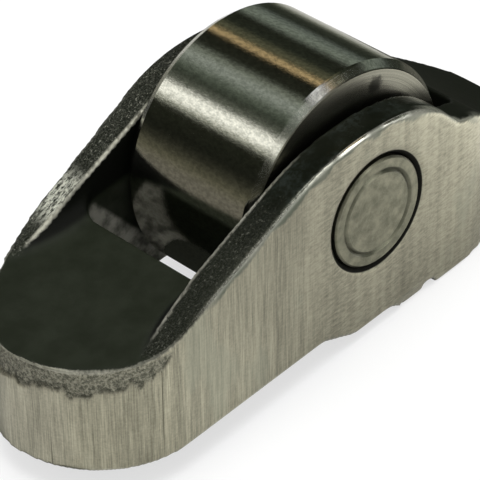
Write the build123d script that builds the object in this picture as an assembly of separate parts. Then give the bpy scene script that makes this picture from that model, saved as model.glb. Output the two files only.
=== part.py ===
"""Roller finger follower (rocker arm) for an overhead-cam valve train.

Frame: the origin is the centre of the pivot ball, +X runs to the valve end,
+Z is up towards the camshaft and the arm is symmetric about the XZ plane.
A forged one-piece arm carries a staked axle pin, a full row of needle rollers
and a polished cam roller.  All sizes are in millimetres.
"""
import os
from math import asin, cos, floor, pi, radians, sin, sqrt, tan

from build123d import *

# ---- the arm's layout ----
axle_from_pivot = 17.4      # along X, pivot ball centre to axle
axle_rise = 5.5             # axle above the pivot ball centre
valve_from_pivot = 29.8     # along X, pivot ball centre to valve contact
body_width = 15.2           # across both ears
ear_wall = 2.2              # thickness of one ear beside the roller

# ---- cam roller, needles and axle pin ----
roller_diameter = 17.0
roller_side_gap = 0.30      # between a roller face and an ear
roller_edge_drop = 0.45     # edge chamfer, radially
roller_edge_run = 0.60      # edge chamfer, along the axis
roller_bore_chamfer = 0.30
pin_diameter = 7.2
pin_edge_break = 0.12
staking_radius = 2.75       # middle of the ring groove that spreads the pin's ends
staking_groove = 0.34       # width of that groove
staking_depth = 0.16
bore_chamfer = 0.42         # round the pin on the ears' outer faces
needle_diameter = 1.6
needle_side_gap = 0.50      # between a needle's end and an ear
race_clearance = 0.03       # between a needle and either race
needle_play = 0.015         # smallest gap between neighbouring needles

# ---- rounded pivot end ----
ball_radius = 4.0
ball_centre_cover = 1.25    # the end's underside lies this far below the ball centre
ball_rim_chamfer = 0.45
nose_reach = 5.1            # ball centre to the tip, at the floor
nose_round = 6.9            # length of the rounded stretch, seen from above
far_nose_round = 11.0       # the same on the +Y side, which is trimmed closer
far_nose_cut = 0.5          # and lies this far inside the ear's face there
far_cut_start = 4.6         # the +Y side starts to close in this far before the axle
nose_floor = 6.07           # floor above the ball centre, straight above it
nose_floor_slope = 3.1      # degrees, rising towards the roller
draw_lean = 5.5             # degrees, the rounded ends lean out towards the pivot side
floor_fillet = 1.4          # where the floors run into the ears
flare_radius = 8.5          # the ears thin out along this arc towards the tip
flare_lead = 0.8            # the arc starts this far before the window

# ---- ears ----
crest_rise = 6.0            # above the axle
crest_lead = 1.0            # the crest lies this far towards the pivot
crest_radius = 16.0
flank_slope = 21.5          # degrees, the long flank towards the pivot
far_flank_radius = 11.0     # the +Y ear's crest turns down tighter on the pivot side
flank_fillet = 12.0         # where the flanks run out on the floor
crest_break = 14.6          # degrees, where the crest turns into the shoulder
shoulder_radius = 7.0
shoulder_end = 50.0         # degrees
shoulder_hollow = 0.9       # fillet at the shoulder's foot

# ---- window round the roller ----
window_pivot_gap = 3.3      # roller to the window's edge, pivot side
window_valve_gap = 1.2      # roller to the window's edge, valve side
window_corner = 1.2

# ---- underside ----
belly_drop = 1.15           # below the rounded end's underside
belly_ramp_start = 5.2      # towards the pivot from the axle
belly_ramp_end = 2.6
guide_drop = 1.85           # guide walls below the rounded end's underside
guide_ramp_start = 0.6      # towards the valve from the axle
guide_ramp_end = 1.8
underside_fillet = 1.5
guide_corner = 1.2          # bevel at the guide walls' lower corner

# ---- valve end ----
valve_reach = 4.4           # valve contact to the tip
taper_start = 5.1           # the -Y side starts to close in this far before the contact
far_taper_start = 8.8       # and the +Y side this far before it
pad_height = 0.6            # contact surface above the ball centre
pad_radius = 14.0
roof_start = 4.3            # the ears run out on the roof this far before the contact
roof_height = 7.6           # above the ball centre, there
roof_slope = 14.0           # degrees there
roof_turn = 1.65            # the roof turns down until this far before the contact
roof_turn_height = 5.6
roof_hollow = 0.33          # how far its last stretch sags below a straight line
tip_height = 2.0            # roof above the ball centre, at the tip
guide_slot = 7.0            # between the walls that straddle the valve's stem
guide_reach = 1.8           # valve contact to the walls' end

# ---- small mark left by the trimming die, under one ear ----
nick_from_axle = 4.2
nick_radius = 0.50
nick_bevel_length = 2.7
nick_bevel_depth = 0.35
nick_bevel_height = 0.95

# ---- worked out from the sizes above ----
roller_radius = roller_diameter / 2
pin_radius = pin_diameter / 2
half_width = body_width / 2
window_width = body_width - 2 * ear_wall
roller_width = window_width - 2 * roller_side_gap
needle_length = window_width - 2 * needle_side_gap
needle_row_radius = pin_radius + race_clearance + needle_diameter / 2
roller_bore_radius = pin_radius + 2 * race_clearance + needle_diameter
needle_pitch = 2 * asin((needle_diameter + needle_play) / 2 / needle_row_radius)
needle_count = floor(2 * pi / needle_pitch)
nose_bottom = -ball_centre_cover
belly_bottom = nose_bottom - belly_drop
guide_bottom = nose_bottom - guide_drop
nose_x = nose_round - nose_reach
far_nose_x = far_nose_round - nose_reach
far_nose_y = half_width - far_nose_cut
far_cut_x = axle_from_pivot - far_cut_start
tip_x = valve_from_pivot + valve_reach
taper_x = valve_from_pivot - taper_start
far_taper_x = valve_from_pivot - far_taper_start
window_start = axle_from_pivot - roller_radius - window_pivot_gap
window_end = axle_from_pivot + roller_radius + window_valve_gap
beyond = body_width         # how far cutting shapes run past the arm


def floor_height(x):
    """Height of the rounded end's floor at x."""
    return nose_floor + x * tan(radians(nose_floor_slope))


def flat_face(lines):
    """Face inside a closed run of lines and arcs."""
    return make_face([edge for line in lines for edge in line.edges()])


def side_face(lines):
    """Face in the XZ plane from lines drawn with (x, z) points."""
    return Plane.XZ * flat_face(lines)


def across(face, width):
    """Solid that runs the same distance to both sides of the XZ plane."""
    return extrude(face, amount=width / 2, both=True)


def meeting_point(first, first_slope, second, second_slope):
    """Where two lines in the side view cross, each given by a point and a slope in degrees."""
    a = tan(radians(first_slope))
    b = tan(radians(second_slope))
    x = (second.Y - first.Y + a * first.X - b * second.X) / (a - b)
    return Vector(x, first.Y + a * (x - first.X))


def round_corners(face, points, radius):
    """The flat face with its corners at the given points rounded."""
    corners = [face.vertices().sort_by_distance(point)[0] for point in points]
    return fillet(corners, radius)


def plan_block():
    """Arm seen from above, drawn at the floor and carried along the leaning draw."""
    far_nose = EllipticalCenterArc((far_nose_x, 0), far_nose_round, far_nose_y, 90, arc_size=90)
    near_nose = EllipticalCenterArc((nose_x, 0), nose_round, half_width, 180, arc_size=90)
    near_tip = EllipticalCenterArc((taper_x, 0), tip_x - taper_x, half_width, 270, arc_size=90)
    far_tip = EllipticalCenterArc((far_taper_x, 0), tip_x - far_taper_x, half_width, 0, arc_size=90)
    near = Line(near_nose @ 1, near_tip @ 0)
    far = Polyline(far_tip @ 1, (far_cut_x, half_width), far_nose @ 0)
    outline = flat_face([far_nose, near_nose, near, near_tip, far_tip, far])
    lean = Vector(sin(radians(draw_lean)), 0, cos(radians(draw_lean)))
    up = extrude(outline, amount=beyond, dir=lean)
    down = extrude(outline, amount=beyond, dir=-lean)
    return Pos(0, 0, nose_floor) * (up + down)


def arc_point(centre, radius, angle):
    """Point of an arc in the side view, the angle measured from straight up towards the valve."""
    return centre + radius * Vector(sin(radians(angle)), cos(radians(angle)))


def side_outline(flank_radius):
    """Arm seen from the side: ear and roof above, belly and guide wall below."""
    crest = Vector(axle_from_pivot - crest_lead, axle_rise + crest_rise)
    flank_centre = crest - Vector(0, flank_radius)
    flank_top = arc_point(flank_centre, flank_radius, -flank_slope)
    flank_middle = arc_point(flank_centre, flank_radius, -flank_slope / 2)
    crest_centre = crest - Vector(0, crest_radius)
    crest_middle = arc_point(crest_centre, crest_radius, crest_break / 2)
    shoulder = arc_point(crest_centre, crest_radius, crest_break)
    shoulder_centre = arc_point(crest_centre, crest_radius - shoulder_radius, crest_break)
    shoulder_middle = arc_point(shoulder_centre, shoulder_radius, (crest_break + shoulder_end) / 2)
    foot = arc_point(shoulder_centre, shoulder_radius, shoulder_end)
    floor_start = Vector(-beyond, floor_height(-beyond))
    flank_foot = meeting_point(floor_start, nose_floor_slope, flank_top, flank_slope)
    roof = Vector(valve_from_pivot - roof_start, roof_height)
    hollow = meeting_point(foot, -shoulder_end, roof, -roof_slope)
    fall = Vector(cos(radians(roof_slope)), -sin(radians(roof_slope)))
    turned_down = Vector(valve_from_pivot - roof_turn, roof_turn_height)
    roof_end = Vector(tip_x, tip_height)
    roof_middle = (turned_down + roof_end) / 2 - Vector(0, roof_hollow)
    corner = Vector(tip_x, guide_bottom)
    underside = [
        corner,
        Vector(axle_from_pivot + guide_ramp_end, guide_bottom),
        Vector(axle_from_pivot + guide_ramp_start, belly_bottom),
        Vector(axle_from_pivot - belly_ramp_end, belly_bottom),
        Vector(axle_from_pivot - belly_ramp_start, nose_bottom),
        Vector(-beyond, nose_bottom),
    ]
    outline = flat_face([
        Polyline(floor_start, flank_foot, flank_top),
        ThreePointArc(flank_top, flank_middle, crest),
        ThreePointArc(crest, crest_middle, shoulder),
        ThreePointArc(shoulder, shoulder_middle, foot),
        Polyline(foot, hollow, roof),
        TangentArc(roof, turned_down, tangent=fall),
        ThreePointArc(turned_down, roof_middle, roof_end),
        Line(roof_end, corner),
        Polyline(*underside),
        Line(underside[-1], floor_start),
    ])
    outline = round_corners(outline, [flank_foot], flank_fillet)
    outline = round_corners(outline, [hollow], shoulder_hollow)
    outline = round_corners(outline, underside[1:5], underside_fillet)
    return Plane.XZ * outline


def side_block():
    """Both halves of the arm as seen from the side, wider than the arm."""
    near = extrude(side_outline(crest_radius), amount=beyond)
    far = extrude(side_outline(far_flank_radius), amount=-beyond)
    return near + far


def nose_pocket():
    """Space over the rounded end's floor; its sides flare out where the ears thin away."""
    inner = window_width / 2
    flare_start = window_start - flare_lead
    turn = 2 * ear_wall / flare_radius
    centre = Vector(flare_start, inner + flare_radius)
    middle = centre + flare_radius * Vector(-sin(turn), -cos(turn))
    end = centre + flare_radius * Vector(-sin(2 * turn), -cos(2 * turn))
    start = Vector(flare_start, inner)
    wide = Vector(-beyond, end.Y)
    side = [
        Line((axle_from_pivot, inner), start),
        ThreePointArc(start, middle, end),
        Line(end, wide),
    ]
    other = [mirror(edge, Plane.XZ) for edge in side]
    ends = [
        Line((axle_from_pivot, inner), (axle_from_pivot, -inner)),
        Line(wide, (wide.X, -wide.Y)),
    ]
    plan = flat_face(side + other + ends)
    above = side_face([Polyline(
        (-beyond, floor_height(-beyond)),
        (axle_from_pivot, floor_height(axle_from_pivot)),
        (axle_from_pivot, 2 * beyond),
        (-beyond, 2 * beyond),
        close=True,
    )])
    pocket = extrude(plan, amount=2 * beyond, both=True) & across(above, 3 * beyond)
    return fillet(pocket.faces().sort_by(Axis.Z)[0].edges(), floor_fillet)


def roller_window():
    """Opening for the roller, right through the arm."""
    length = window_end - window_start
    window = Box(length, window_width, 4 * beyond)
    window = fillet(window.edges().filter_by(Axis.Z), window_corner)
    return Pos(window_start + length / 2, 0, 0) * window


def pivot_socket():
    """Ball socket with a straight mouth and a chamfered rim."""
    rim = nose_bottom + ball_rim_chamfer
    top = Vector(0, ball_radius)
    equator = Vector(ball_radius, 0)
    middle = ball_radius * Vector(sin(pi / 4), cos(pi / 4))
    half = side_face([
        ThreePointArc(top, middle, equator),
        Polyline(
            equator,
            (ball_radius, rim),
            (ball_radius + 2 * ball_rim_chamfer, nose_bottom - ball_rim_chamfer),
            (0, nose_bottom - ball_rim_chamfer),
            top,
        ),
    ])
    return revolve(half, Axis.Z)


def guide_mouth():
    """Space past the ends of the guide walls, which have a bevelled lower corner."""
    wall_end = valve_from_pivot + guide_reach
    return across(side_face([Polyline(
        (wall_end, beyond),
        (wall_end, guide_bottom + guide_corner),
        (wall_end - guide_corner, guide_bottom),
        (wall_end - guide_corner, -beyond),
        (wall_end + beyond, -beyond),
        (wall_end + beyond, beyond),
        close=True,
    )]), 2 * beyond)


def valve_guide():
    """Channel that straddles the valve's stem, under a crowned contact pad that runs on past its walls."""
    crown = Vector(valve_from_pivot, pad_height)
    reach = window_end - valve_from_pivot - window_corner
    rise = pad_radius - sqrt(pad_radius ** 2 - reach ** 2)
    start = crown + Vector(reach, rise)
    end = crown + Vector(-reach, rise)
    below = side_face([
        ThreePointArc(start, crown, end),
        Polyline(end, (2 * beyond + end.X, end.Y), (2 * beyond + end.X, -beyond), (start.X, -beyond), start),
    ])
    return across(below, guide_slot) + (across(below, 2 * beyond) & guide_mouth())


def axle_bore():
    """Bore through both ears with a countersink on each outer face."""
    bore = Cylinder(pin_radius, 2 * beyond)
    sink = Cone(pin_radius, pin_radius + 2 * bore_chamfer, 2 * bore_chamfer)
    sinks = Pos(0, 0, half_width) * sink + Pos(0, 0, -half_width) * Rot(180, 0, 0) * sink
    return Pos(axle_from_pivot, 0, axle_rise) * Rot(90, 0, 0) * (bore + sinks)


def trim_nick():
    """Notch and short bevel that the trimming die leaves under the near ear."""
    x = axle_from_pivot + nick_from_axle
    notch = Rot(90, 0, 0) * Cylinder(nick_radius, 2 * ear_wall)
    notch = Pos(x, -half_width, guide_bottom) * notch
    bevel = Plane.YZ * make_face(Polyline(
        (-half_width - nick_bevel_depth, guide_bottom + nick_bevel_height),
        (-half_width, guide_bottom + nick_bevel_height),
        (-half_width + nick_bevel_depth, guide_bottom - nick_bevel_depth),
        (-half_width - nick_bevel_depth, guide_bottom - nick_bevel_depth),
        close=True,
    ))
    return notch + Pos(x - nick_bevel_length, 0, 0) * extrude(bevel, amount=nick_bevel_length)


def arm_body():
    """One-piece forged arm."""
    arm = plan_block() & side_block()
    arm -= nose_pocket()
    arm -= roller_window()
    arm -= pivot_socket()
    arm -= valve_guide()
    arm -= axle_bore()
    arm -= trim_nick()
    return arm


def turned(points):
    """Solid of revolution about the Y axis from (radius, y) points, moved to the axle."""
    half = make_face(Polyline(*points, close=True))
    return Pos(axle_from_pivot, 0, axle_rise) * revolve(half, Axis.Y)


def axle_pin():
    """Plain pin, flush with the ears, with a staked ring in each end."""
    end = half_width
    flat = [
        (0, end),
        (staking_radius - staking_groove / 2, end),
        (staking_radius, end - staking_depth),
        (staking_radius + staking_groove / 2, end),
        (pin_radius - pin_edge_break, end),
        (pin_radius, end - pin_edge_break),
    ]
    return turned(flat + [(r, -y) for r, y in reversed(flat)])


def roller():
    """Cam roller, a thick ring with broad edge chamfers."""
    end = roller_width / 2
    flat = [
        (roller_bore_radius, end - roller_bore_chamfer),
        (roller_bore_radius + roller_bore_chamfer, end),
        (roller_radius - roller_edge_drop, end),
        (roller_radius, end - roller_edge_run),
    ]
    return turned(flat + [(r, -y) for r, y in reversed(flat)])


def needle_rollers():
    """Full row of needles between the pin and the roller."""
    needle = Rot(90, 0, 0) * Cylinder(needle_diameter / 2, needle_length)
    row = []
    for number in range(needle_count):
        angle = 2 * pi * number / needle_count
        x = axle_from_pivot + needle_row_radius * cos(angle)
        z = axle_rise + needle_row_radius * sin(angle)
        row.append(Pos(x, 0, z) * needle)
    return row


os.makedirs("parts", exist_ok=True)
export_step(arm_body(), "parts/arm_body.step")
export_step(axle_pin(), "parts/axle_pin.step")
export_step(roller(), "parts/cam_roller.step")
for index, needle in enumerate(needle_rollers(), start=1):
    export_step(needle, f"parts/needle_roller_{index:02d}.step")
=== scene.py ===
"""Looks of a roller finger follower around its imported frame.

The CAD pin, roller and needles keep their shapes and get finished metals.  The
forged arm is replaced by a fine even mesh of the same solid, with edges
softened by tumbling and walls marked by the trimming die.
"""

import math
from types import SimpleNamespace

import bpy
import numpy as np
from mathutils import Matrix, Vector


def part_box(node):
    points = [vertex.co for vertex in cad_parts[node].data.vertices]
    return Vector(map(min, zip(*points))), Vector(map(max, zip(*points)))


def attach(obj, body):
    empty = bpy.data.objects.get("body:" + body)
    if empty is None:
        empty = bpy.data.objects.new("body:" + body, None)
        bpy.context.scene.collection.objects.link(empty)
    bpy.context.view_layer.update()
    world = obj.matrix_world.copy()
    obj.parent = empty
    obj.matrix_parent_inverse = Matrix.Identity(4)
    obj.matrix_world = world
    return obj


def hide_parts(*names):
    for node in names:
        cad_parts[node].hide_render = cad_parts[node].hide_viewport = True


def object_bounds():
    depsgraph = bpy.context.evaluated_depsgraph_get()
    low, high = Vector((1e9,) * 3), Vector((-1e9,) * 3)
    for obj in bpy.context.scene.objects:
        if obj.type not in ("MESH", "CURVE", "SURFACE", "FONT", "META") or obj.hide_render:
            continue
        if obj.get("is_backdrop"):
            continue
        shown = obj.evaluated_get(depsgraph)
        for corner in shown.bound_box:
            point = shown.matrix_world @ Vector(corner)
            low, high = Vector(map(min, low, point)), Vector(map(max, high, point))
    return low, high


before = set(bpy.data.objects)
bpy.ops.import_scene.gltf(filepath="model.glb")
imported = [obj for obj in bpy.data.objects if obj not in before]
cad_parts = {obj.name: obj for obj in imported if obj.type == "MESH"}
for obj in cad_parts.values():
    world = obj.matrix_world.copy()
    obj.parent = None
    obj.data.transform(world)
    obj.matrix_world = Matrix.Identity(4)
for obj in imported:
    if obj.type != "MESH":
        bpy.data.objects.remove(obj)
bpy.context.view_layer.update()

MM = 0.001

# ---- camera ----
CAMERA_PLACE = Vector((-0.07446, -0.09869, 0.11184))
CAMERA_TARGET = Vector((0.00975, -0.00381, 0.00634))
CAMERA_ROLL = math.radians(-5.89)
CAMERA_LENS = 213.7
CAMERA_SENSOR = 36

# ---- studio ----
WORLD_LEVEL = 0.62            # the world's light on dull surfaces
FLOOR_HALF = 3.0              # half of the floor's side
FLOOR_GLOW = 0.66             # share of the floor's white that no shadow dims
KEY_PLACE = Vector((0.04, -0.06, 0.80))   # soft lamp, from the axle
KEY_SIZE = 0.48
KEY_POWER = 4.9
SHEET_LIFT = 0.1              # reflected sheets over the floor, in millimetres
CARD_RADIUS = 0.80
CARD_LENGTH = 2.6
# Glowing cards round the roller's axis, seen only as reflections: painted reflections of
# the roller's bands. Angle in degrees from straight up towards the valve, and the card's red, green and blue
# there.
CARDS = (
    (-94, 0.20, 0.185, 0.145),
    (-84, 0.11, 0.105, 0.07),
    (-74, 0.035, 0.035, 0.024),
    (-66, 0.012, 0.013, 0.009),
    (-46, 0.018, 0.020, 0.013),
    (-42, 0.45, 0.46, 0.38),
    (-37, 1.15, 1.15, 1.05),
    (-31, 1.15, 1.15, 1.05),
    (-26, 0.14, 0.15, 0.12),
    (-17, 0.035, 0.042, 0.030),
    (-9, 0.11, 0.13, 0.10),
    (0, 0.30, 0.33, 0.29),
    (7, 0.18, 0.20, 0.16),
    (13, 0.020, 0.022, 0.015),
    (28, 0.014, 0.015, 0.010),
    (30.5, 0.75, 0.55, 0.28),
    (32.5, 0.42, 0.31, 0.16),
    (35, 0.07, 0.07, 0.04),
    (40, 0.10, 0.10, 0.06),
    (46, 0.022, 0.026, 0.018),
    (60, 0.016, 0.018, 0.012),
    (69, 0.19, 0.22, 0.18),
    (80, 0.12, 0.14, 0.12),
    (86, 0.025, 0.03, 0.022),
    (94, 0.025, 0.03, 0.022),
)
# Glowing sheets on the floor, seen only as reflections: painted reflections of the floor's
# light and shade. From and to along Y from the arm's middle, then distance from the axle along X and the
# sheet's tone there.
BEHIND_PIVOT_END = (0.012, 0.75, (
    (-0.80, 0.15, 0.14, 0.11),
    (-0.030, 0.15, 0.14, 0.11),
    (-0.022, 0.02, 0.02, 0.015),
))
BEHIND_ROLLER = (0.030, 0.75, (
    (-0.022, 0.22, 0.22, 0.18),
    (0.0215, 0.22, 0.22, 0.18),
))
BEHIND_VALVE_END = (0.0165, 0.75, (
    (0.022, 0.60, 0.60, 0.55),
    (0.036, 0.48, 0.48, 0.43),
    (0.052, 0.18, 0.19, 0.15),
    (0.075, 0.06, 0.065, 0.05),
    (0.11, 0.03, 0.035, 0.025),
    (0.80, 0.03, 0.035, 0.025),
))
PAST_VALVE_END = (-0.0045, 0.0165, (
    (0.014, 0.10, 0.10, 0.08),
    (0.075, 0.10, 0.10, 0.08),
    (0.11, 0.03, 0.035, 0.025),
    (0.80, 0.03, 0.035, 0.025),
))
PAST_NEAR_SIDE = (-0.045, -0.0045, (
    (0.061, 0.03, 0.035, 0.025),
    (0.80, 0.03, 0.035, 0.025),
))
# painted shadow: a near-black sheet under the arm, which the roller's underside mirrors
SHADE_UNDER_ARM = (-0.010, 0.010, (
    (-0.024, 0.012, 0.013, 0.010),
    (0.018, 0.012, 0.013, 0.010),
))
# painted light: glows up to three times white beside the near wall, brightest towards the valve end,
# lighting the wall's reflection
LIGHT_BY_NEAR_SIDE = (-0.034, -0.0045, (
    (-0.040, 0.98, 0.98, 0.95),
    (-0.016, 1.10, 1.10, 1.06),
    (-0.010, 1.05, 1.05, 1.02),
    (-0.005, 0.76, 0.76, 0.74),
    (0.005, 0.74, 0.74, 0.72),
    (0.010, 0.85, 0.85, 0.82),
    (0.016, 1.02, 1.02, 0.99),
    (0.021, 1.90, 1.90, 1.85),
    (0.029, 3.10, 3.10, 3.03),
    (0.060, 3.10, 3.10, 3.03),
))
FLOOR_SHEETS = (
    BEHIND_PIVOT_END,
    PAST_VALVE_END,
    PAST_NEAR_SIDE,
    BEHIND_ROLLER,
    BEHIND_VALVE_END,
    SHADE_UNDER_ARM,
    LIGHT_BY_NEAR_SIDE,
)
# Glowing cards in front, seen only as reflections: painted glints on the near ear's rim and
# a painted highlight on the roller's bevel. From and to in degrees above the floor, then the share along X
# and the tone there.
EAR_RIM_CARD = (18, 50, (
    (0.10, 0.0),
    (0.18, 4.0),
    (0.35, 4.0),
    (0.39, 0.1),
    (0.44, 0.1),
    (0.47, 4.0),
    (0.56, 4.0),
    (0.62, 0.0),
))
ROLLER_BEVEL_CARD = (54, 60, (
    (0.14, 0.02),
    (0.29, 0.9),
    (0.34, 0.9),
    (0.47, 0.02),
))
FRONT_CARDS = (EAR_RIM_CARD, ROLLER_BEVEL_CARD)

# ---- sizes that the finishes follow, in millimetres ----
ARM_MIDDLE_X = 14.0           # outer walls face away from this line
AXLE_X = 17.4
AXLE_Z = 5.5
HALF_WIDTH = 7.6              # the ears' outer walls, from the middle
EAR_INSIDE = 5.4              # and their inner walls
FLOOR_AT_PIVOT = 6.07         # the rounded end's floor, over the ball
FLOOR_RISE = math.tan(math.radians(3.1))
DRAW_LEAN = math.tan(math.radians(5.5))
PIN_RADIUS = 3.6
STAKED_RING = 2.75            # middle of the ring groove in the pin's ends
BORE_CHAMFER_END = 4.02       # radius where the chamfer round the pin meets the ears' walls
ROLLER_SIDE = 5.1             # the roller's end faces, from the middle
ROLLER_RADIUS = 8.5
DARK_SPOT_X = 20.35               # small dark spot on the roller's near end face
DARK_SPOT_Z = 11.98

GRID = 0.17                   # face size of the arm's mesh
EDGE_SOFTENING = 5            # rounds of smoothing over the grid
EDGE_FINDING = 20             # rounds that show where the edges are
RIM_BIN = 0.25                # the ears' rims are traced in steps of this length

TORN_END = 0.9                # the torn band stops here, where the ear rises
TORN_DEPTH = 1.60             # below the floor's edge
TORN_RAGGED = 0.80            # how far its lower edge wanders
TORN_RELIEF = 0.11
ROLLED_WIDTH = 0.42           # soft edge that the trimming die leaves under the ears' rims
ROLLED_RAGGED = 0.30
ROLLED_RELIEF = 0.10
NEAR_BLAST_END = 7.5          # the blasted grain fades out past here on the near ear
FAR_BLAST_END = 15.0          # and past here on the far one
BLAST_RELIEF = 0.025
PUNCH_START = 5.93            # the window's walls show bare metal below a slanted line
PUNCH_HEIGHT = 6.6
PUNCH_SLOPE = 1.32

AXLE = np.array([AXLE_X, 0, AXLE_Z]) * MM

# ---- colours ----
BARE_DARK = (0.150, 0.145, 0.108)
BARE_LIGHT = (0.490, 0.465, 0.355)
BARE_GREENISH = (0.235, 0.250, 0.195)
DEEP_LINE = (0.09, 0.085, 0.06)
TORN_DARK = (0.100, 0.100, 0.076)
TORN_LIGHT = (0.34, 0.33, 0.26)
TORN_FLECK = (0.44, 0.43, 0.37)
TORN_PIT = (0.030, 0.031, 0.022)
ROLLED_DARK = (0.12, 0.13, 0.10)
ROLLED_LIGHT = (0.21, 0.21, 0.17)
SCALE_DARK = (0.0112, 0.0140, 0.0080)
SCALE_LIGHT = (0.0170, 0.0205, 0.0128)
# painted shade on the ears' inner walls and the roof
SCALE_SHADE = (0.0010, 0.0012, 0.0008)
SCALE_CREST = (0.005, 0.006, 0.004)
SCALE_WORN = (0.034, 0.042, 0.037)
BLAST_DARK = (0.012, 0.014, 0.009)
BLAST_LIGHT = (0.110, 0.115, 0.090)
# painted highlight on the far ear's blasted end, near the rounded end
BLAST_HIGHLIGHT = (0.66, 0.67, 0.57)
# bright flecks painted as the blasted grain's glints
BLAST_GLINT = (0.62, 0.62, 0.52)
PUNCH_DARK = (0.12, 0.12, 0.10)
PUNCH_LIGHT = (0.50, 0.49, 0.42)
# bare metal on edges, partly a painted glint
WORN_EDGE_AND_GLINT = (0.50, 0.49, 0.41)
# painted shade: dark smooth line along the near ear's outer rim
SMOOTH_EDGE_SHADE = (0.10, 0.10, 0.08)
GLINT = (0.80, 0.79, 0.70)
SUNK_RING = (0.006, 0.006, 0.004)
PIN_DARK = (0.115, 0.116, 0.080)
PIN_LIGHT = (0.340, 0.328, 0.240)
PIN_GROOVE = (0.06, 0.062, 0.045)
PIN_RIM = (0.03, 0.03, 0.02)
SIDE_DARK = (0.145, 0.142, 0.110)
SIDE_LIGHT = (0.235, 0.228, 0.185)
SIDE_DARK_SPOT = (0.015, 0.015, 0.010)
RUN_DARK = (0.54, 0.54, 0.50)
RUN_LIGHT = (0.84, 0.83, 0.78)
NEEDLE_DARK = (0.50, 0.50, 0.46)
NEEDLE_LIGHT = (0.62, 0.61, 0.57)
FLOOR_PAINT = (0.9, 0.9, 0.9)
WHITE = (1, 1, 1)


# ---- numbers over points ----

def soft_step(value, low, high):
    """0 at low, 1 at high, a smooth S between them and flat past them; low may be the greater."""
    share = np.clip((value - low) / (high - low), 0, 1)
    return share * share * (3 - 2 * share)


def lumps(points, size, seed):
    """Value noise from 0 to 1: random numbers on a lattice of cells of a size, S-blended in between."""
    lattice = np.random.default_rng(seed).random((32, 32, 32))
    place = points / size
    cell = np.floor(place).astype(int)
    share = place - cell
    share = share * share * (3 - 2 * share)
    total = np.zeros(len(points))
    for corner in range(8):
        step = np.array([corner & 1, corner >> 1 & 1, corner >> 2 & 1])
        weight = np.prod(np.where(step == 1, share, 1 - share), axis=1)
        index = (cell + step) % 32
        total += weight * lattice[index[:, 0], index[:, 1], index[:, 2]]
    return total


# ---- shader maths ----

class Wire:
    """One socket of a material's nodes; arithmetic on it adds Math nodes."""

    def __init__(self, tree, socket=None):
        self.tree = tree
        self.socket = socket

    def node(self, kind, settings=None, inputs=None, out=0):
        """New node: settings first, then its sockets' values or links; a colour has three numbers."""
        made = self.tree.nodes.new(kind)
        for name, value in (settings or {}).items():
            setattr(made, name, value)
        for name, value in (inputs or {}).items():
            socket = made.inputs[name]
            if isinstance(value, Wire):
                self.tree.links.new(value.socket, socket)
            elif socket.type == "RGBA":
                socket.default_value = (*value, 1)
            else:
                socket.default_value = value
        return Wire(self.tree, made.outputs[out])

    def math(self, operation, *others):
        return self.node("ShaderNodeMath", {"operation": operation}, dict(enumerate((self, *others))))

    def __add__(self, other):
        return self.math("ADD", other)

    __radd__ = __add__

    def __sub__(self, other):
        return self.math("SUBTRACT", other)

    def __rsub__(self, other):
        return self.node("ShaderNodeMath", {"operation": "SUBTRACT"}, {0: other, 1: self})

    def __mul__(self, other):
        return self.math("MULTIPLY", other)

    __rmul__ = __mul__

    def __abs__(self):
        return self.math("ABSOLUTE")

    def at_most(self, limit):
        return self.math("MINIMUM", limit)

    def step(self, low, high):
        """0 at low, 1 at high and smooth between; low may be the greater."""
        ends = {"Value": self, "From Min": low, "From Max": high}
        return self.node("ShaderNodeMapRange", {"interpolation_type": "SMOOTHSTEP"}, ends)

    def between(self, first, second):
        """Colour that goes from the first to the second as this value goes from 0 to 1."""
        return self.node("ShaderNodeMix", {"data_type": "RGBA"}, {0: self, 6: first, 7: second}, out=2)

    def axes(self):
        return [self.node("ShaderNodeSeparateXYZ", None, {0: self}, out=number) for number in range(3)]

    def joined(self, x, y, z):
        return self.node("ShaderNodeCombineXYZ", None, {0: x, 1: y, 2: z})

    def noise(self, place, scale, detail=3.0, roughness=0.5):
        inputs = {"Vector": place, "Scale": scale, "Detail": detail, "Roughness": roughness}
        return self.node("ShaderNodeTexNoise", None, inputs)

    def cells(self, place, scale):
        return self.node("ShaderNodeTexVoronoi", None, {"Vector": place, "Scale": scale})

    def attribute(self, name):
        return self.node("ShaderNodeAttribute", {"attribute_name": name}, out="Fac")

    def bump(self, height, strength, distance):
        """Normal tilted by a height that is given in the unit of distance, in metres."""
        inputs = {"Height": height, "Strength": strength, "Distance": distance}
        return self.node("ShaderNodeBump", None, inputs)

    def seen_or_mirrored(self):
        """1 for what is seen directly, in a mirror or through glass, 0 for light on dull surfaces."""
        camera, glossy, through = [
            self.node("ShaderNodeLightPath", out=name)
            for name in ("Is Camera Ray", "Is Glossy Ray", "Is Transmission Ray")
        ]
        return camera + glossy + through


def painted(name, surface):
    """Material whose surface shader is made by surface(start)."""
    made = bpy.data.materials.new(name)
    made.use_nodes = True
    tree = made.node_tree
    tree.nodes.clear()
    output = tree.nodes.new("ShaderNodeOutputMaterial")
    tree.links.new(surface(Wire(tree)).socket, output.inputs["Surface"])
    return made


def metal_finish(name, sockets):
    """Material with one Principled shader; sockets(start) gives its socket values and links."""
    return painted(name, lambda start: start.node("ShaderNodeBsdfPrincipled", None, sockets(start)))


def millimetres(start):
    """Object coordinates in millimetres."""
    place = start.node("ShaderNodeTexCoord", out="Object")
    return start.node("ShaderNodeVectorMath", {"operation": "SCALE"}, {0: place, "Scale": 1 / MM})


def distance(across, up):
    return (across * across + up * up).math("SQRT")


def round_the_axle(start):
    """Place in millimetres, its x, y and z, and its distance from the axle's line."""
    g = SimpleNamespace()
    g.place = millimetres(start)
    g.x, g.y, g.z = g.place.axes()
    g.radius = distance(g.x - AXLE_X, g.z - AXLE_Z)
    return g


# ---- the forged arm's steel ----

ARM_MARKS = (
    "wall", "torn", "torn_low", "rolled", "sunk", "blasted", "bright_end", "crest",
    "edge", "rim_line", "outer_line", "inner", "rim_zone", "punched", "rubbed",
)


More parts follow.
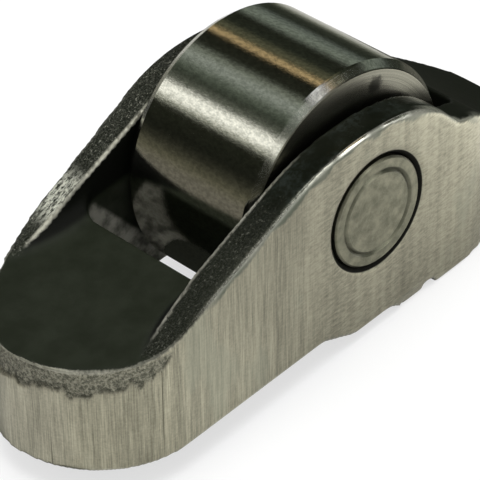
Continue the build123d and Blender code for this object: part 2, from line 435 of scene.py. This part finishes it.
def arm_grains(start):
    """Places in millimetres and the noise patterns that the arm's finishes share."""
    g = round_the_axle(start)
    g.along = g.x - g.z * DRAW_LEAN
    drawn_place = start.joined(g.along, g.y, g.z * 0.035)
    g.fine_lines = start.noise(drawn_place, 11, 4, 0.65)
    g.broad_lines = start.noise(drawn_place, 1.6, 3, 0.5)
    g.deep_lines = start.noise(start.joined(g.along, g.y, g.z * 0.006), 5.5, 2, 0.5).step(0.31, 0.27)
    scuff_place = start.joined(g.x * 0.25 + g.z * 0.05, g.y * 0.25, g.z)
    g.scuffs = start.noise(scuff_place, 7.5, 5, 0.65)
    g.pores = start.noise(g.place, 7, 5, 0.7)
    g.burnish = start.noise(start.joined(g.along * 0.9, g.y, g.z * 0.35), 0.35, 4, 0.55)
    g.rough = start.noise(g.place, 5.5, 5, 0.7)
    g.flecks = start.cells(g.place, 9.0).step(0.30, 0.05)
    g.blast = start.noise(g.place, 8.0, 3, 0.75)
    g.mottle = start.noise(g.place, 0.55, 5, 0.6)
    g.towards_valve = g.x.step(8, 14)
    g.drawn = (1 - g.towards_valve) * 0.85 + 0.15
    g.scuffed = g.towards_valve * 0.8 + 0.2
    return g


def bare_steel(g):
    """Drawn and trimmed wall: upright lines at the pivot end, cross scuffs towards the valve."""
    grain = (g.fine_lines - 0.5) * g.drawn + (g.scuffs - 0.5) * g.scuffed * 0.9
    tone = 0.47 + grain * 1.15 + (g.broad_lines - 0.5) * 0.55
    # painted light: the wall is lighter towards the valve end, where more light falls on it
    tone = tone + (g.pores - 0.5) * 0.5 + (g.burnish - 0.5) * 0.5 + g.x.step(-6, 30) * 0.10
    colour = tone.step(0.0, 1.0).between(BARE_DARK, BARE_LIGHT)
    colour = (g.burnish.step(0.56, 0.66) * 0.35).between(colour, BARE_GREENISH)
    return (g.deep_lines * (1 - g.towards_valve)).between(colour, DEEP_LINE)


def torn_steel(start, g, mark):
    """Broken metal under the rounded end's rim, darker in clumps towards its lower edge."""
    clumps = (start.noise(g.place, 2.6, 5, 0.65) + mark.torn_low * 0.24 - 0.17).step(0.48, 0.58)
    colour = g.rough.step(0.36, 0.66).between(TORN_DARK, TORN_LIGHT)
    colour = (g.flecks * 0.5).between(colour, TORN_FLECK)
    return (clumps * 0.62).between(colour, TORN_PIT)


def dark_scale(start, g, mark):
    """Heat scale, smooth on the crests with paler patches of wear there; painted shade darkens the ears'
    inner walls and the roof.
    """
    patches = g.mottle.step(0.40, 0.62) * start.noise(g.place, 3.2, 4, 0.65).step(0.38, 0.62)
    # painted shade on the ears' inner walls and, towards the valve, the roof
    painted_shade = (mark.inner * 0.85 + g.x.step(22, 25) * 0.6).at_most(0.9)
    colour = g.mottle.step(0.30, 0.75).between(SCALE_DARK, SCALE_LIGHT)
    colour = painted_shade.between(colour, SCALE_SHADE)
    colour = (mark.crest * 0.6).between(colour, SCALE_CREST)
    return (mark.crest * patches * 0.5).between(colour, SCALE_WORN)


def blasted_steel(start, g, mark):
    """Blasted ear rims: grain, painted lighter on the far ear, a painted highlight with a fibrous texture on
    the far ear's end, and scattered bright flecks painted as glints.
    """
    far_ear = g.y.step(-1, 1)
    # the far ear's grain is painted lighter, as light falls on it
    grain = g.blast.step(0.42, 0.74) * (0.35 + far_ear * 0.5)
    fibres = start.noise(start.joined(g.along * 0.4, g.y, g.z * 0.4), 6.5, 4, 0.7).step(0.38, 0.60)
    # painted glints: bright flecks, more on the far ear
    spark_glints = start.noise(g.place, 5.5, 6, 0.8).step(0.555, 0.66) * g.mottle.step(0.36, 0.52)
    colour = grain.between(BLAST_DARK, BLAST_LIGHT)
    colour = (mark.bright_end * fibres).between(colour, BLAST_HIGHLIGHT)
    return (spark_glints * (0.25 + far_ear * 0.40)).between(colour, BLAST_GLINT)


def punched_wall(g, mark):
    """Share and colour of the bare metal on the window's walls, below a slanted line."""
    slant = (g.z - PUNCH_HEIGHT) + (g.x - PUNCH_START) * PUNCH_SLOPE
    share = mark.punched * (slant.step(1.00, 0.35) * (g.x.step(4, 14) * 0.6 + 0.4) + 0.02)
    return share, g.mottle.step(0.36, 0.60).between(PUNCH_DARK, PUNCH_LIGHT)


def rim_glint(g, mark):
    """Painted glint: two bright stretches on the rounding between the near ear's wall and its crest, faint
    between them.
    """
    rounding = g.y.step(-7.58, -7.52) * g.y.step(-7.34, -7.42) * mark.rim_zone
    first = g.x.step(14.4, 15.2) * g.x.step(17.4, 16.9)
    second = g.x.step(18.1, 18.7) * g.x.step(20.9, 20.2)
    return rounding * ((first + second) * 0.85 + 0.15)


def forged_steel(start):
    """Trimmed walls in bare drawn steel, everything else under dark scale with a blasted grain."""
    g = arm_grains(start)
    mark = SimpleNamespace(**{name: start.attribute(name) for name in ARM_MARKS})
    sunk = mark.sunk * g.radius.step(BORE_CHAMFER_END - 0.03, BORE_CHAMFER_END - 0.09)
    sunk = sunk * abs(g.y).step(HALF_WIDTH - 1.0, HALF_WIDTH - 0.8)
    glint = rim_glint(g, mark)
    # edges bared by wear, partly a painted glint at the rounded end's tip and along the ears' inner rims
    worn_and_glint = (mark.edge * 18 + (g.rough - 0.5) * 0.5 + (g.burnish - 0.5) * 0.8).step(0.62, 0.88)
    worn_and_glint = (worn_and_glint * mark.rubbed + mark.rim_line * (g.burnish.step(0.30, 0.55) * 0.7 + 0.3)).at_most(1.0)

    dark = mark.blasted.between(dark_scale(start, g, mark), blasted_steel(start, g, mark))
    punched, punched_colour = punched_wall(g, mark)
    dark = punched.between(dark, punched_colour)
    colour = mark.wall.between(dark, bare_steel(g))
    colour = mark.rolled.between(colour, g.burnish.step(0.3, 0.7).between(ROLLED_DARK, ROLLED_LIGHT))
    colour = mark.torn.between(colour, torn_steel(start, g, mark))
    colour = (worn_and_glint * 0.85).between(colour, WORN_EDGE_AND_GLINT)
    # painted shade: the near ear's outer rim is a dark smooth line that shines only where a front card is
    # mirrored
    colour = (mark.outer_line * 0.8).between(colour, SMOOTH_EDGE_SHADE)
    colour = glint.between(colour, GLINT)
    colour = sunk.between(colour, SUNK_RING)

    metal = mark.wall * 0.92 + (1 - mark.wall) * (mark.blasted * 0.55 + mark.crest * 0.35)
    metal = (metal + (worn_and_glint + mark.outer_line + glint).at_most(1.0) * (1 - metal)) * (1 - sunk)

    wall_rough = 0.40 + (g.pores - 0.5) * 0.25
    dark_rough = 0.52 - mark.crest * 0.32 + (g.mottle - 0.5) * 0.20 - mark.blasted * 0.12
    rough = mark.wall * wall_rough + (1 - mark.wall) * dark_rough
    rough = rough + mark.torn * 0.18 + sunk * 0.2 - worn_and_glint * 0.12
    rough = rough * (1 - mark.outer_line) + mark.outer_line * 0.16

    lines = (g.fine_lines * 1.0 + g.deep_lines * -1.6) * g.drawn + g.scuffs * g.scuffed * 0.7
    height = mark.wall * (1 - mark.torn) * lines * 0.9
    height = height + mark.torn * (g.rough * 9 + g.flecks * 2)
    blasting = mark.blasted * (g.blast * 9 + start.cells(g.place, 6.0) * 5)
    height = height + (1 - mark.wall) * (blasting + g.mottle * 1.5)
    return {
        "Base Color": colour,
        "Metallic": metal,
        "Roughness": rough,
        "Specular IOR Level": 0.07,
        "Normal": start.bump(height, 0.85, 0.01 * MM),
    }


# ---- the turned pieces' steels ----

def pin_steel(start):
    """Hardened pin: dull grey-green with swirling scuffs, darker in the staked ring and at the rim."""
    g = round_the_axle(start)
    swirl = start.noise(g.place, 1.3, 4, 0.6)
    rings = start.noise(start.joined(g.radius, g.radius * 0.3, g.y * 0.1), 7, 3, 0.6)
    speck = start.noise(g.place, 12, 4, 0.7)
    tone = 0.45 + (swirl - 0.5) * 1.3 + (rings - 0.5) * 0.30 + (speck - 0.5) * 0.4
    groove = abs(g.radius - STAKED_RING).step(0.26, 0.06)
    rim = g.radius.step(PIN_RADIUS - 0.16, PIN_RADIUS - 0.02)
    colour = tone.step(0.0, 1.0).between(PIN_DARK, PIN_LIGHT)
    colour = (groove * 0.6).between(colour, PIN_GROOVE)
    return {
        "Base Color": (rim * 0.55).between(colour, PIN_RIM),
        "Metallic": 0.9,
        "Roughness": 0.38 + (swirl - 0.5) * 0.25,
        "Normal": start.bump(rings * 1.5 + speck, 0.6, 0.006 * MM),
    }


def roller_steel(start):
    """Ground running face with fine flecks and the faintest hoop lines, duller bevels and end faces."""
    g = round_the_axle(start)
    side = abs(g.y).step(ROLLER_SIDE - 0.12, ROLLER_SIDE - 0.04)
    running = g.radius.step(ROLLER_RADIUS - 0.12, ROLLER_RADIUS - 0.04)
    hoops = start.noise(start.joined(g.y, g.radius * 0.02, 0.0), 26, 4, 0.7)
    rings = start.noise(start.joined(g.radius, g.radius * 0.4, 0.0), 12, 4, 0.7)
    smear = start.noise(g.place, 0.5, 4, 0.6)
    grain = start.noise(g.place, 3.0, 5, 0.7)
    flecked = start.noise(start.joined(g.x, g.y * 0.6, g.z), 4.5, 6, 0.75)
    spotted = (distance(g.x - DARK_SPOT_X, g.z - DARK_SPOT_Z) + (grain - 0.5) * 0.9).step(0.75, 0.30)
    spotted = spotted * g.y.step(0.2 - ROLLER_SIDE, 0.1 - ROLLER_SIDE)
    side_colour = rings.step(0.3, 0.7).between(SIDE_DARK, SIDE_LIGHT)
    side_colour = (spotted * 0.9).between(side_colour, SIDE_DARK_SPOT)
    run_colour = flecked.step(0.34, 0.64).between(RUN_DARK, RUN_LIGHT)
    rough = 0.045 + (smear - 0.5) * 0.03 + (flecked - 0.5) * 0.06 * running
    height = (hoops * 0.8 + grain * 2 + flecked * 2) * running + rings * side * 2
    return {
        "Base Color": side.between(run_colour, side_colour),
        "Metallic": 1.0,
        "Roughness": rough + (1 - running) * 0.12 + side * 0.10,
        "Normal": start.bump(height, 0.5, 0.003 * MM),
    }


def needle_steel(start):
    """Fine ground needles."""
    smear = start.noise(millimetres(start), 3, 3, 0.5)
    return {
        "Base Color": smear.between(NEEDLE_DARK, NEEDLE_LIGHT),
        "Metallic": 1.0,
        "Roughness": 0.15 + smear * 0.1,
    }


def dress_cad_nodes():
    """Finished metals on the CAD pieces that keep their shapes."""
    pin = metal_finish("pin steel", pin_steel)
    ground = metal_finish("roller steel", roller_steel)
    needle = metal_finish("needle steel", needle_steel)
    for name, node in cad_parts.items():
        if name == "axle_pin":
            node.material_slots[0].material = pin
        elif name == "cam_roller":
            node.material_slots[0].material = ground
        elif name.startswith("needle_roller"):
            node.material_slots[0].material = needle


# ---- the arm's mesh ----

def new_piece(name, mesh):
    piece = bpy.data.objects.new(name, mesh)
    bpy.context.scene.collection.objects.link(piece)
    return piece


def even_mesh(node, rounds):
    """Mesh of a CAD node as even square faces, its sharp edges smoothed over a few of them."""
    draft = new_piece("draft", node.data.copy())
    weld = draft.modifiers.new("weld", "WELD")
    weld.merge_threshold = 1e-6
    grid = draft.modifiers.new("grid", "REMESH")
    grid.mode = "VOXEL"
    grid.voxel_size = GRID * MM
    soften = draft.modifiers.new("soften", "SMOOTH")
    soften.factor = 0.5
    soften.iterations = rounds
    mesh = bpy.data.meshes.new_from_object(draft.evaluated_get(bpy.context.evaluated_depsgraph_get()))
    bpy.data.objects.remove(draft)
    return mesh


def vertex_vectors(mesh, name):
    flat = np.empty(len(mesh.vertices) * 3, np.float32)
    mesh.vertices.foreach_get(name, flat)
    return flat.reshape(-1, 3).astype(float)


def rim_height(x, z, chosen):
    """Height of the highest chosen point near each x, over narrow bins along the arm."""
    bins = np.arange(x.min(), x.max() + 2 * RIM_BIN, RIM_BIN)
    tops = np.full(len(bins), z.min())
    number = np.clip(np.digitize(x[chosen], bins) - 1, 0, len(bins) - 1)
    np.maximum.at(tops, number, z[chosen])
    return np.interp(x, bins + RIM_BIN / 2, tops)


def survey(mesh, melted):
    """What the arm's marks go by at each point, in millimetres.

    outward is the normal's share away from the arm's middle line in plan and inward its share
    towards the XZ plane.  edge is how far the point stands out of the melted mesh, and rim_drop
    how far it lies below the ear's highest point at the same x.
    """
    p = SimpleNamespace()
    p.points = vertex_vectors(mesh, "co") / MM
    p.normals = vertex_vectors(mesh, "normal")
    p.x, p.y, p.z = p.points.T.copy()
    p.edge = np.sum((p.points - vertex_vectors(melted, "co") / MM) * p.normals, axis=1)
    reach = np.hypot(p.x - ARM_MIDDLE_X, p.y) + 1e-6
    p.outward = (p.normals[:, 0] * (p.x - ARM_MIDDLE_X) + p.normals[:, 1] * p.y) / reach
    p.inward = -p.normals[:, 1] * np.sign(p.y)
    p.up = p.normals[:, 2]
    p.outside = soft_step(p.outward, 0.05, 0.2) * soft_step(np.abs(p.up), 0.95, 0.8)
    p.over_floor = p.z - (FLOOR_AT_PIVOT + p.x * FLOOR_RISE)
    near_ear = (p.y < -EAR_INSIDE - 0.2) & (p.z > 2)
    far_ear = (p.y > EAR_INSIDE + 0.2) & (p.z > 2)
    rim = np.where(p.y < 0, rim_height(p.x, p.z, near_ear), rim_height(p.x, p.z, far_ear))
    p.rim_drop = rim - p.z
    p.plan = np.stack([p.x, p.y, p.z * 0.0], 1)
    return p


def torn_band(p):
    """Band under the rounded end's rim, down to a wandering depth, and how low in it each point lies."""
    below = -p.over_floor
    ragged = lumps(p.plan, 0.8, 3) * 0.55 + lumps(p.plan, 0.36, 4) * 0.45
    depth = TORN_DEPTH + TORN_RAGGED * (2 * ragged - 1)
    depth = depth * soft_step(p.x, TORN_END + 0.3, TORN_END - 2.2)
    torn = p.outside * soft_step(below, depth + 0.05, depth - 0.05)
    torn = torn * soft_step(p.x, TORN_END, TORN_END - 0.5) * soft_step(below, -0.02, 0.10)
    return torn, np.clip(below / np.maximum(depth, 0.1), 0, 1)


def rolled_edge(p):
    """Edge that rolls over under the ears' rims, and how near to the rim each point lies."""
    under = p.rim_drop * np.where(p.x < AXLE_X - 3, 0.92, 0.97)
    width = ROLLED_WIDTH + ROLLED_RAGGED * (2 * lumps(p.plan, 1.1, 5) - 1)
    ear = soft_step(p.x, 2.6, 4.5) * soft_step(p.x, 27.5, 25)
    rolled = p.outside * ear * soft_step(under, width + 0.04, width - 0.06) * (np.abs(p.y) > 6.9)
    return rolled, np.clip(1 - under / np.maximum(width, 0.05), 0, 1)


def relief(p, torn, rolled, nearness, blasted):
    """How far each point moves in along its normal, in millimetres.

    By lumps where torn, by the square of the nearness to the rim where rolled, by pits where blasted.
    """
    grain = lumps(p.points, 0.45, 6) * 0.6 + lumps(p.points, 0.28, 7) * 0.4
    pitted = lumps(p.points, 0.40, 8) * blasted * soft_step(np.abs(p.y), HALF_WIDTH, HALF_WIDTH - 0.4)
    push = TORN_RELIEF * torn * (0.35 + grain) + ROLLED_RELIEF * rolled * nearness ** 2
    return push + BLAST_RELIEF * pitted


def ear_marks(p):
    """Blasted and smooth stretches of the ears' tops, and the lines along their rims."""
    blast_end = np.where(p.y < 0, NEAR_BLAST_END, FAR_BLAST_END)
    top = soft_step(p.up, 0.35, 0.6) * soft_step(p.over_floor, 0.04, 0.22) * soft_step(p.x, 24.5, 23.0)
    top = top * soft_step(p.inward, 0.34, 0.20) * (np.abs(p.y) > EAR_INSIDE - 0.2)
    # the ears' inner rims, painted bright as a glint line
    rim_line = soft_step(p.inward, 0.14, 0.30) * soft_step(p.up, 0.2, 0.4) * soft_step(p.edge, 0.012, 0.026)
    rim_line = rim_line * soft_step(p.rim_drop, 0.22, 0.10) * soft_step(p.over_floor, 0.05, 0.12)
    outer = soft_step(-p.inward, 0.20, 0.35) * soft_step(-p.inward, 0.80, 0.62)
    outer = outer * soft_step(p.over_floor, 0.3, 0.8) * soft_step(p.rim_drop, 0.24, 0.14)
    zone = soft_step(p.rim_drop, 0.5, 0.35) * soft_step(p.over_floor, 0.8, 1.6)
    return {
        "blasted": top * soft_step(p.x, blast_end + 4.5, blast_end),
        "crest": top * soft_step(p.x, blast_end - 1.5, blast_end + 2.5),
        # painted highlight on the far ear's end
        "bright_end": soft_step(p.x, 7.0, 5.4) * soft_step(p.x, 2.4, 4.0) * (p.y > 0),
        "rim_line": rim_line * soft_step(p.x, 14, 11),
        "outer_line": outer * soft_step(p.x, 17, 15),
        "rim_zone": zone * soft_step(p.x, 23, 21.5),
    }


def inner_marks(p, rim_line):
    """Inner walls of the ears, and the walls that the window's punch left below the floor."""
    # the ears' inner walls, which the scale paints darker as shade
    inner = soft_step(p.inward, 0.22, 0.55) * soft_step(p.over_floor, 0.02, 0.3)
    punched = soft_step(p.inward, 0.3, 0.6) * soft_step(p.over_floor, 0.05, -0.25)
    punched = punched * soft_step(p.x, 5, 6) * soft_step(p.x, 17, 16)
    punched = punched * soft_step(np.abs(p.y), EAR_INSIDE + 0.5, EAR_INSIDE + 0.2)
    return {"inner": inner * (1 - rim_line), "punched": punched}


def wear_and_glint_marks(p):
    """Edges bared by handling, the underside's and the rounded end's rim, and a painted glint that is
    strongest at that rim's tip.
    """
    nose = soft_step(p.x, 1.8, 0.4) * soft_step(p.z, 4, 5) * (0.25 + 0.75 * soft_step(p.x, -3.6, -4.4))
    return {"edge": p.edge, "rubbed": np.maximum(nose, 0.35 * soft_step(p.z, 2, 1))}


def arm_forging():
    """Even mesh of the forged arm, with the marks that its steel follows as attributes.

    Outer walls are where the normal points away from the arm's middle line in plan and lies flat.
    Each point moves in along its normal by its relief, and none leaves the solid's box.
    """
    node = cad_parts["arm_body"]
    mesh = even_mesh(node, EDGE_SOFTENING)
    melted = even_mesh(node, EDGE_FINDING)
    p = survey(mesh, melted)
    bpy.data.meshes.remove(melted)
    torn, torn_low = torn_band(p)
    rolled, nearness = rolled_edge(p)
    from_axle = np.hypot(p.x - AXLE_X, p.z - AXLE_Z)
    marks = ear_marks(p)
    marks.update(inner_marks(p, marks["rim_line"]))
    marks.update(wear_and_glint_marks(p))
    marks.update({
        "wall": soft_step(p.outward, 0.05, 0.25) * soft_step(np.abs(p.up), 0.62, 0.42),
        "sunk": soft_step(from_axle, BORE_CHAMFER_END + 0.28, BORE_CHAMFER_END + 0.13),
        "torn": torn,
        "torn_low": torn_low,
        "rolled": rolled,
    })
    moved = p.points - p.normals * relief(p, torn, rolled, nearness, marks["blasted"])[:, None]
    low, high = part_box("arm_body")
    points = np.clip(moved, np.array(low) / MM, np.array(high) / MM)
    mesh.vertices.foreach_set("co", (points * MM).astype(np.float32).ravel())
    for name in ARM_MARKS:
        layer = mesh.attributes.new(name, "FLOAT", "POINT")
        layer.data.foreach_set("value", marks[name].astype(np.float32))
    mesh.polygons.foreach_set("use_smooth", np.ones(len(mesh.polygons), bool))
    mesh.materials.clear()
    mesh.materials.append(metal_finish("forged steel", forged_steel))
    mesh.update()
    piece = new_piece("arm_forging", mesh)
    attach(piece, "arm")
    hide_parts("arm_body")


# ---- studio ----

def floor_paint(start):
    """Pale paint that shows white where nothing shades it; part of it glows, which softens shadows."""
    dull = start.node("ShaderNodeBsdfDiffuse", None, {"Color": FLOOR_PAINT})
    glow = start.node("ShaderNodeEmission", None, {"Color": WHITE, "Strength": 1.0})
    share = start.seen_or_mirrored() * FLOOR_GLOW
    return start.node("ShaderNodeMixShader", None, {0: share, 1: dull, 2: glow})


def card_paint(start):
    """Plain glow in the colour of the tone attribute."""
    colour = start.node("ShaderNodeAttribute", {"attribute_name": "tone"}, out="Color")
    return start.node("ShaderNodeEmission", None, {"Color": colour, "Strength": 1.0})


def add_floor():
    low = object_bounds()[0]
    corners = [(x * FLOOR_HALF, y * FLOOR_HALF, low[2]) for x, y in ((-1, -1), (1, -1), (1, 1), (-1, 1))]
    mesh = bpy.data.meshes.new("floor")
    mesh.from_pydata(corners, [], [(0, 1, 2, 3)])
    mesh.materials.append(painted("floor paint", floor_paint))
    new_piece("floor", mesh)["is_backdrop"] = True


def reflection_sheet(name, places, tones):
    """Strip of faces between pairs of points, with a tone at each pair, seen only as a reflection."""
    count = len(places)
    first = 2 * np.arange(count - 1)
    faces = np.stack([first, first + 1, first + 3, first + 2], 1)
    mesh = bpy.data.meshes.new(name)
    mesh.from_pydata(np.reshape(places, (-1, 3)).tolist(), [], faces.tolist())
    colours = np.repeat(np.column_stack([tones, np.ones(count)]), 2, axis=0)
    layer = mesh.attributes.new("tone", "FLOAT_COLOR", "POINT")
    layer.data.foreach_set("color", colours.astype(np.float32).ravel())
    mesh.materials.append(painted(name + " paint", card_paint))
    piece = new_piece(name, mesh)
    piece.visible_camera = False
    piece.visible_diffuse = False
    piece.visible_shadow = False
    piece.visible_transmission = False
    piece.visible_volume_scatter = False
    piece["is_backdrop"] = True


def add_round_cards():
    """Glowing cards bent round the roller's axis, painting its reflected bands: a cylinder of CARD_RADIUS,
    open below.
    """
    cards = np.array(CARDS)
    turn = np.radians(cards[:, 0])
    places = np.zeros((len(cards), 2, 3))
    places[:, :, 0] = (AXLE[0] + CARD_RADIUS * np.sin(turn))[:, None]
    places[:, :, 1] = -CARD_LENGTH / 2, CARD_LENGTH / 2
    places[:, :, 2] = (AXLE[2] + CARD_RADIUS * np.cos(turn))[:, None]
    reflection_sheet("cards", places, cards[:, 1:])


def add_floor_sheets():
    """Flat glowing sheets on the floor: painted light and shade for what mirrors downwards."""
    for number, (start, end, rows) in enumerate(FLOOR_SHEETS):
        rows = np.array(rows)
        places = np.zeros((len(rows), 2, 3))
        places[:, :, 0] = (AXLE[0] + rows[:, 0])[:, None]
        places[:, :, 1] = start, end
        places[:, :, 2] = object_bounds()[0][2] + SHEET_LIFT * MM
        reflection_sheet(f"floor_sheet_{number}", places, rows[:, 1:])


def add_front_cards():
    """Glowing cards on a sphere of CARD_RADIUS round the axle, in front of the arm, painting glints."""
    for number, (low, high, rows) in enumerate(FRONT_CARDS):
        share, tone = np.array(rows).T
        flat = np.sqrt(1 - share * share)
        rises = math.radians(low), math.radians(high)
        ends = [np.stack([share, -flat * math.cos(rise), flat * math.sin(rise)], 1) for rise in rises]
        places = AXLE + CARD_RADIUS * np.stack(ends, 1)
        reflection_sheet(f"front_card_{number}", places, np.repeat(tone[:, None], 3, axis=1))


def looking(direction):
    """Turn that points a camera or lamp along a direction."""
    return direction.to_track_quat("-Z", "Y").to_matrix().to_4x4()


def add_key_lamp():
    """Soft square lamp overhead, out of the roller's and its bevel's mirror directions."""
    data = bpy.data.lights.new("key lamp", "AREA")
    data.size = KEY_SIZE
    data.energy = KEY_POWER
    lamp = bpy.data.objects.new("key lamp", data)
    bpy.context.scene.collection.objects.link(lamp)
    lamp.matrix_world = Matrix.Translation(Vector(AXLE) + KEY_PLACE) @ looking(-KEY_PLACE)


def add_world():
    """White where it is seen or mirrored, plain light elsewhere."""
    world = bpy.data.worlds.new("world")
    world.use_nodes = True
    tree = world.node_tree
    tree.nodes.clear()
    start = Wire(tree)
    level = WORLD_LEVEL + start.seen_or_mirrored() * (1 - WORLD_LEVEL)
    light = start.node("ShaderNodeBackground", None, {"Color": WHITE, "Strength": level})
    output = tree.nodes.new("ShaderNodeOutputWorld")
    tree.links.new(light.socket, output.inputs["Surface"])
    bpy.context.scene.world = world


def add_camera():
    data = bpy.data.cameras.new("camera")
    data.lens = CAMERA_LENS
    data.sensor_width = CAMERA_SENSOR
    data.clip_start = 0.01
    camera = bpy.data.objects.new("camera", data)
    bpy.context.scene.collection.objects.link(camera)
    roll = Matrix.Rotation(CAMERA_ROLL, 4, "Z")
    camera.matrix_world = Matrix.Translation(CAMERA_PLACE) @ looking(CAMERA_TARGET - CAMERA_PLACE) @ roll
    bpy.context.scene.camera = camera


arm_forging()
dress_cad_nodes()
add_camera()
add_world()
add_floor()
add_round_cards()
add_floor_sheets()
add_front_cards()
add_key_lamp()
bpy.context.scene.view_settings.view_transform = "Standard"
